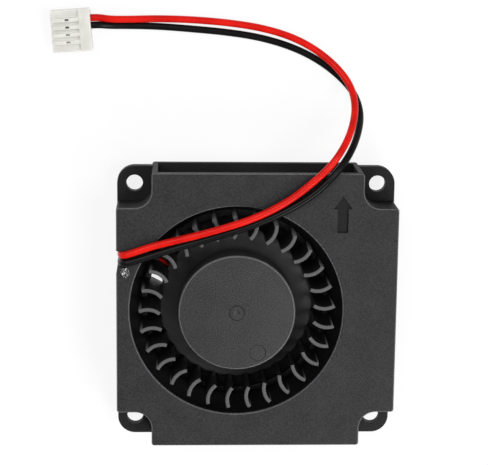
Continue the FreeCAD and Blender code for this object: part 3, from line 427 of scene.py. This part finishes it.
def makeBladeTree(values):
    tree = bpy.data.node_groups.new("bladeRing", "GeometryNodeTree")
    kinds = {int: "NodeSocketInt", float: "NodeSocketFloat", tuple: "NodeSocketVector"}
    for name, value in values.items():
        socket = tree.interface.new_socket(name, in_out="INPUT", socket_type=kinds[type(value)])
        socket.default_value = value
    tree.interface.new_socket("material", in_out="INPUT", socket_type="NodeSocketMaterial")
    tree.interface.new_socket("result", in_out="OUTPUT", socket_type="NodeSocketGeometry")
    graph = Graph(tree)
    get = graph.outputs("NodeGroupInput")

    def point(x, y, z):
        return graph.add("ShaderNodeCombineXYZ", None, {0: x, 1: y, 2: z})

    def roundedBar(width, height):
        bar = graph.add("GeometryNodeCurvePrimitiveQuadrilateral", None, {"Width": width, "Height": height})
        return graph.add("GeometryNodeFilletCurve", {"mode": "POLY"}, {
            "Curve": bar, "Count": get["edgeSteps"], "Radius": get["edge"], "Limit Radius": True})

    def sweep(path, section):
        upright = graph.add("GeometryNodeSetCurveNormal", {"mode": "Z_UP"}, {"Curve": path})
        return graph.add("GeometryNodeCurveToMesh", None, {
            "Curve": upright, "Profile Curve": section, "Fill Caps": True})

    middle = (get["bottom"] + get["top"]) / 2
    arc = graph.add("GeometryNodeCurveArc", {"mode": "POINTS"}, {
        "Resolution": get["bladeSteps"], "Start": point(get["root"], get["rootLean"], middle),
        "Middle": point((get["root"] + get["tip"]) / 2, get["rootLean"] / 2 - get["bow"], middle),
        "End": point(get["tip"], 0.0, middle)})
    blade = sweep(arc, roundedBar(get["thickness"], get["top"] - get["bottom"]))
    number = graph.add("GeometryNodeInputIndex")
    blades = graph.add("GeometryNodeInstanceOnPoints", None, {
        "Points": graph.add("GeometryNodePoints", None, {"Count": get["blades"]}), "Instance": blade,
        "Rotation": point(0.0, 0.0, number * (2 * math.pi) / get["blades"] + get["turn"])})
    circle = graph.add("GeometryNodeCurvePrimitiveCircle", {"mode": "RADIUS"}, {
        "Resolution": get["ringSteps"], "Radius": get["ringRadius"]})
    raised = graph.add("GeometryNodeTransform", None, {
        "Geometry": circle, "Translation": point(0.0, 0.0, get["bottom"] + get["ringHeight"] / 2)})
    ring = sweep(raised, roundedBar(get["ringWidth"], get["ringHeight"]))
    both = graph.add("GeometryNodeJoinGeometry", None, {0: [ring, blades]})
    moved = graph.add("GeometryNodeTransform", None, {"Geometry": both, "Translation": get["axis"]})
    real = graph.add("GeometryNodeRealizeInstances", None, {"Geometry": moved})
    dressed = graph.add("GeometryNodeSetMaterial", None, {"Geometry": real, "Material": get["material"]})
    graph.node("NodeGroupOutput", None, {"result": dressed})
    return tree


def bakeTree(name, tree, values):
    # runs the tree on an empty mesh and returns the result as a plain mesh
    carrier = addObject(name, bpy.data.meshes.new(name))
    modifier = carrier.modifiers.new(name, "NODES")
    modifier.node_group = tree
    for item in tree.interface.items_tree:
        if item.in_out == "INPUT":
            modifier[item.identifier] = values[item.name]
    carrier.update_tag()
    depsgraph = bpy.context.evaluated_depsgraph_get()
    mesh = bpy.data.meshes.new_from_object(carrier.evaluated_get(depsgraph))
    carrier.modifiers.remove(modifier)
    bpy.data.objects.remove(carrier)
    return mesh


# Impeller's hub: a turned section whose skirt is scalloped, drawn in a little at each blade

hub = {"radius": 8.4 * mm, "top": 8.8 * mm, "round": 0.28 * mm, "inside": 7.9 * mm,
       "ceiling": 8.1 * mm, "bore": 0.75 * mm, "boreEnd": 8.45 * mm, "boss": 1.6 * mm,
       "bossLow": 7.35 * mm, "skirt": 11.35 * mm, "skirtTop": 4.2 * mm, "skirtEdge": 0.65 * mm,
       "wallAcross": 0.585 * mm, "wallDown": 0.52 * mm, "breakAcross": 0.15 * mm,
       "breakUp": 0.12 * mm, "scallop": 0.3 * mm, "scallopFade": 3,
       "roundSteps": 6, "skirtSteps": 8, "stepsPerBlade": 12, "smooth": 35}


def quarterTurn(steps):
    angles = [math.pi / 2 * step / steps for step in range(steps + 1)]
    return [(math.cos(angle), math.sin(angle)) for angle in angles]


def hubProfile(v):
    # half section as radius and height: boss, inside and skirt's underside, then up the outside
    bottom = bladeRing["bottom"]
    drop = v["skirtTop"] - bottom - v["skirtEdge"]
    reach = v["skirt"] - v["radius"]
    outside = [(v["radius"] + reach * (1 - x), v["skirtTop"] - drop * y)
               for x, y in quarterTurn(v["skirtSteps"])]
    inside = [(max(radius - v["wallAcross"], v["inside"]), max(height - v["wallDown"], bottom))
              for radius, height in outside]
    corner = (v["radius"] - v["round"], v["top"] - v["round"])
    top = [(corner[0] + v["round"] * x, corner[1] + v["round"] * y)
           for x, y in quarterTurn(v["roundSteps"])]
    boss = [(v["bore"], v["boreEnd"]), (v["bore"], v["bossLow"]), (v["boss"], v["bossLow"]),
            (v["boss"], v["ceiling"]), (v["inside"], v["ceiling"])]
    rim = [(v["skirt"] - v["breakAcross"], bottom), (v["skirt"], bottom + v["breakUp"])]
    return boss + inside + rim + outside[::-1] + top


def makeHubMesh(v):
    shape = bmesh.new()
    profile = hubProfile(v)
    blades = bladeRing["blades"]
    count = blades * v["stepsPerBlade"]
    rings = []
    for step in range(count):
        angle = 2 * math.pi * step / count
        wave = 0.5 + 0.5 * math.cos((angle - bladeRing["turn"]) * blades)
        ring = []
        for radius, height in profile:
            outward = max(0.0, (radius - v["radius"]) / (v["skirt"] - v["radius"]))
            drawn = radius - v["scallop"] * wave * outward ** v["scallopFade"]
            place = (rotorAxis[0] + drawn * math.cos(angle), rotorAxis[1] + drawn * math.sin(angle), height)
            ring.append(shape.verts.new(place))
        rings.append(ring)
    low = shape.verts.new((*rotorAxis, v["boreEnd"]))
    high = shape.verts.new((*rotorAxis, v["top"]))
    for first, second in zip(rings, rings[1:] + rings[:1]):
        for place in range(len(profile) - 1):
            shape.faces.new((first[place], second[place], second[place + 1], first[place + 1]))
        shape.faces.new((low, second[0], first[0]))
        shape.faces.new((high, first[-1], second[-1]))
    bmesh.ops.remove_doubles(shape, verts=shape.verts, dist=mergeWithin)
    bmesh.ops.recalc_face_normals(shape, faces=shape.faces)
    return closeMesh("hub", shape, v["smooth"])


def makeImpeller():
    values = dict(bladeRing, material=finishes["rotor_plastic"])
    blades = bakeTree("bladeRing", makeBladeTree(bladeRing), values)
    smoothBy(blades, hub["smooth"])
    addPiece("impeller_blades", blades, "rotor_plastic", "rotor", ("impeller",))
    addPiece("impeller_hub", makeHubMesh(hub), "rotor_plastic", "rotor", ("impeller",))
    print("impeller made:", len(blades.polygons), "blade faces")


makeImpeller()


# Plug: a softened copy of its solid, with every moulded edge rounded

plug = {"edge": 0.09 * mm, "sharp": math.radians(35), "flat": math.radians(1), "segments": 2, "smooth": 50}


def softCopy(node, v):
    shape = bmesh.new()
    shape.from_mesh(node.data)
    bmesh.ops.remove_doubles(shape, verts=shape.verts, dist=mergeWithin)
    bmesh.ops.dissolve_limit(shape, angle_limit=v["flat"], verts=shape.verts, edges=shape.edges)
    corners = [e for e in shape.edges if len(e.link_faces) == 2 and e.calc_face_angle() > v["sharp"]]
    bmesh.ops.bevel(shape, geom=corners, offset=v["edge"], offset_type="OFFSET", segments=v["segments"],
                    profile=0.5, affect="EDGES", clamp_overlap=True)
    return closeMesh(node.name + "_soft", shape, v["smooth"])


plugMesh = softCopy(nodes["connector_housing"], plug)
plugPiece = addPiece("plug_body", plugMesh, "nylon", "fan_body", ("connector_housing",))
print("plug made")


# Drop of glue where the leads come over the edge

glueDrop = {"middle": (-18.72 * mm, 5.7 * mm, 10.0 * mm), "radius": 0.62 * mm,
            "stretch": (0.95, 1.15, 0.55), "ripple": 0.3, "rippleScale": 1.9,
            "ripplePlace": (3.1, 0.4, 1.7), "sunk": 0.05 * mm, "fineness": 5, "smooth": 60}


def makeGlueDrop(v):
    shape = bmesh.new()
    bmesh.ops.create_icosphere(shape, subdivisions=v["fineness"], radius=1.0)
    for vert in shape.verts:
        way = vert.co.normalized()
        swell = 1 + v["ripple"] * noise.noise(way * v["rippleScale"] + Vector(v["ripplePlace"]))
        place = Vector([way[axis] * v["stretch"][axis] for axis in range(3)]) * v["radius"] * swell
        place.z = max(place.z, -v["sunk"])
        vert.co = Vector(v["middle"]) + place
    return closeMesh("glue", shape, v["smooth"])


addPiece("glue_blob", makeGlueDrop(glueDrop), "glue", "fan_body", ("glue_drop",))
print("glue made")


# Leads: the tubes' points in metres, as the control points of one smooth spline each.
# From the floor up to the plug they lie within half a millimetre of the tubes' own.

leads = {
    "diameter": 1.02 * mm, "redLength": 0.0889, "blackLength": 0.0906,
    "red": [
        (-0.01935, 0.0082, 0.0083), (-0.01935, 0.0082, 0.01075), (-0.01725, 0.00885, 0.01062),
        (-0.0149, 0.00965, 0.0106), (-0.0121, 0.0104, 0.01075), (-0.00875, 0.01127, 0.011),
        (-0.00525, 0.01225, 0.01105), (-0.00162, 0.01339, 0.01105), (0.00187, 0.01491, 0.011),
        (0.00481, 0.01663, 0.0108), (0.00759, 0.01885, 0.0107), (0.01007, 0.02115, 0.0107),
        (0.01215, 0.02405, 0.0098), (0.01345, 0.02675, 0.0074), (0.01392, 0.02925, 0.00485),
        (0.01335, 0.0317, 0.0029), (0.0114, 0.0342, 0.0019), (0.0084, 0.03658, 0.00115),
        (0.00487, 0.03836, 0.00065), (0.00055, 0.03956, 0.00048), (-0.00419, 0.04023, 0.00048),
        (-0.00919, 0.04062, 0.00055), (-0.01418, 0.04075, 0.0007), (-0.0182, 0.04064, 0.00105),
        (-0.0211, 0.04066, 0.0014), (-0.02266, 0.04094, 0.0015), (-0.02375, 0.04085, 0.0015)],
    "black": [
        (-0.01935, 0.00705, 0.0083), (-0.01935, 0.00705, 0.01075), (-0.01725, 0.00755, 0.0106),
        (-0.0149, 0.0083, 0.01048), (-0.01211, 0.00918, 0.0104), (-0.00874, 0.01017, 0.01038),
        (-0.00523, 0.01118, 0.01036), (-0.00158, 0.01232, 0.01038), (0.00192, 0.01375, 0.0105),
        (0.00513, 0.0154, 0.01056), (0.00791, 0.01722, 0.01062), (0.01055, 0.01985, 0.01072),
        (0.01275, 0.0225, 0.0095), (0.01431, 0.0252, 0.0063), (0.01492, 0.02775, 0.0032),
        (0.0141, 0.0304, 0.0011), (0.01176, 0.0329, 0.00052), (0.00853, 0.03522, 0.00048),
        (0.00475, 0.03696, 0.00048), (0.00028, 0.03821, 0.00048), (-0.00446, 0.03889, 0.00048),
        (-0.00918, 0.03929, 0.00052), (-0.01418, 0.03965, 0.00052), (-0.0182, 0.03971, 0.00055),
        (-0.0211, 0.03972, 0.001), (-0.02257, 0.03989, 0.0015), (-0.02367, 0.0398, 0.0015)],
}


def makeLead(color):
    curve = bpy.data.curves.new("lead_" + color, "CURVE")
    curve.dimensions = "3D"
    spline = curve.splines.new("NURBS")
    spline.points.add(len(leads[color]) - 1)
    for point, place in zip(spline.points, leads[color]):
        point.co = (*place, 1.0)
    spline.order_u = 3
    spline.use_endpoint_u = True
    spline.resolution_u = 10
    curve.bevel_depth = leads["diameter"] / 2
    curve.bevel_resolution = 6
    curve.use_fill_caps = True
    curve.materials.append(finishes[color + "_insulation"])
    lead = addObject("lead_" + color + "_wire", curve)
    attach(lead, "fan_body")
    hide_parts("lead_" + color)


makeLead("red")
makeLead("black")
print("leads laid")


# Camera where the photograph was taken from, with its turns about X, Y and Z

view = {"place": (-11.973 * mm, 59.1 * mm, 236.941 * mm), "degrees": (-11.8468, -2.3896, 0.6347),
        "lens": 121.44, "sensor": 36, "near": 0.01, "far": 10}


def makeCamera():
    camera = bpy.data.cameras.new("photoCamera")
    camera.lens = view["lens"]
    camera.sensor_width = view["sensor"]
    camera.clip_start = view["near"]
    camera.clip_end = view["far"]
    rig = addObject("photoCamera", camera)
    turn = Euler([math.radians(angle) for angle in view["degrees"]])
    rig.matrix_world = Matrix.LocRotScale(Vector(view["place"]), turn, None)
    bpy.context.scene.camera = rig


# White surroundings, a white floor that keeps a soft shadow, and three soft lamps

studio = {"worldLevel": 0.42, "floorSize": 3.0, "floorTone": 0.92, "floorGlow": 0.84,
          "lamps": {"key": {"place": (0.26, -0.02, 0.46), "size": 0.2, "watts": 1.0},
                    "gloss": {"place": (0.09, -0.13, 0.15), "size": 0.08, "watts": 0.2},
                    "fill": {"place": (-0.16, 0.22, 0.42), "size": 0.3, "watts": 1.0}}}


def makeWorld():
    # pure white to the camera, dimmer as a light
    world = bpy.data.worlds.new("studio")
    bpy.context.scene.world = world
    world.use_nodes = True
    world.node_tree.nodes.clear()
    graph = Graph(world.node_tree)
    path = graph.outputs("ShaderNodeLightPath")
    strength = graph.spread(path["Is Camera Ray"], 0.0, 1.0, studio["worldLevel"], 1.0)
    shown = graph.add("ShaderNodeBackground", None, {"Color": grey(1.0), "Strength": strength})
    graph.node("ShaderNodeOutputWorld", None, {"Surface": shown})


def makeFloorFinish():
    # glows where it is seen, straight on or in a reflection, and is matt paint to all other light
    material, graph = newMaterial("whiteFloor")
    path = graph.outputs("ShaderNodeLightPath")
    mirrored = path["Is Glossy Ray"] + path["Is Transmission Ray"]
    mask = graph.spread(path["Is Camera Ray"] + mirrored, 0.0, 1.0, 0.0, studio["floorGlow"])
    matt = graph.add("ShaderNodeBsdfDiffuse", None, {"Color": grey(studio["floorTone"])})
    glow = graph.add("ShaderNodeEmission", None, {"Color": grey(1.0), "Strength": 1.0})
    mixed = graph.add("ShaderNodeMixShader", None, {0: mask, 1: matt, 2: glow})
    graph.node("ShaderNodeOutputMaterial", None, {"Surface": mixed})
    return material


def makeFloor():
    half = studio["floorSize"] / 2
    corners = [(-half, -half, 0), (half, -half, 0), (half, half, 0), (-half, half, 0)]
    mesh = bpy.data.meshes.new("floor")
    mesh.from_pydata(corners, [], [(0, 1, 2, 3)])
    mesh.materials.append(makeFloorFinish())
    floor = addObject("floor", mesh)


def makeLamps():
    for name, lamp in studio["lamps"].items():
        light = bpy.data.lights.new(name, "AREA")
        light.size = lamp["size"]
        light.energy = lamp["watts"]
        rig = addObject(name, light)
        rig.location = lamp["place"]
        rig.rotation_euler = (-Vector(lamp["place"])).to_track_quat("-Z", "Y").to_euler()


makeCamera()
makeWorld()
makeFloor()
makeLamps()
bpy.context.scene.view_settings.view_transform = "Standard"
print("camera, floor and lamps set")
